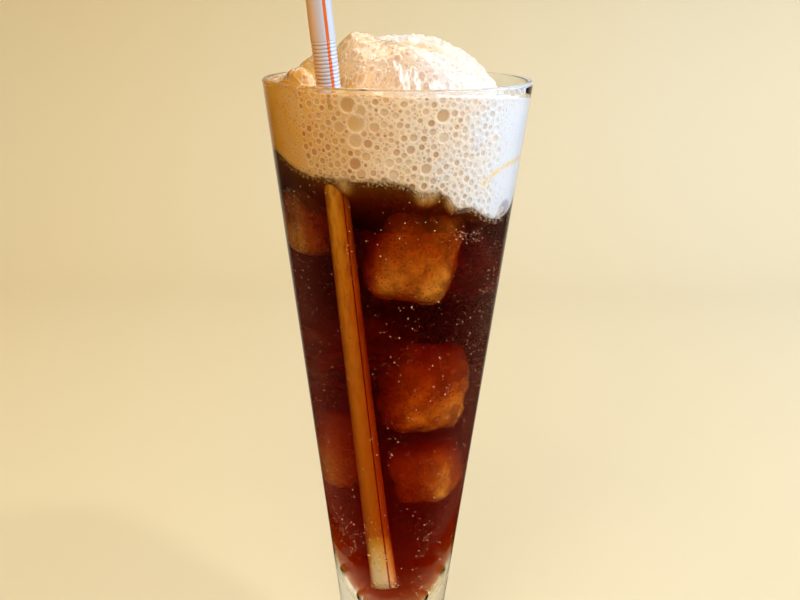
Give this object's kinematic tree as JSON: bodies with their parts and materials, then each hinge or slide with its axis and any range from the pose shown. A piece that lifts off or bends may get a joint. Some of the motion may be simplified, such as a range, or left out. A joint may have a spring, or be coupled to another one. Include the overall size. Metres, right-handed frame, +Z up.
{
  "type": "ice cream float",
  "caption": "Tall footed cone of clear glass filled with dark fizzy drink under a layer of foam and a scoop of vanilla ice cream, with a bendy drinking straw.",
  "frame": {"origin": "centre of the foot's flat underside, which is also the bottom centre of the whole float's box", "axes": "+Z up along the glass's axis, -Y towards the viewer of the picture, +X to the viewer's right; the straw leans out at the front left, towards -X and -Y"},
  "size_m": [0.0748, 0.0748, 0.2524],
  "materials": {
    "glass": "clear polished glass",
    "drink": "clear dark brown liquid, amber where it is thin",
    "foam": "wet foam of small and large bubbles, amber at one side and nearly white at the other",
    "ice_cream": "rough scooped vanilla ice cream",
    "straw": "thin milky plastic with a narrow orange stripe"
  },
  "bodies": {
    "root": {"glass": "glass", "drink": "drink", "foam": "foam", "ice_cream": "ice_cream", "straw": "straw"}
  },
  "joints": []
}
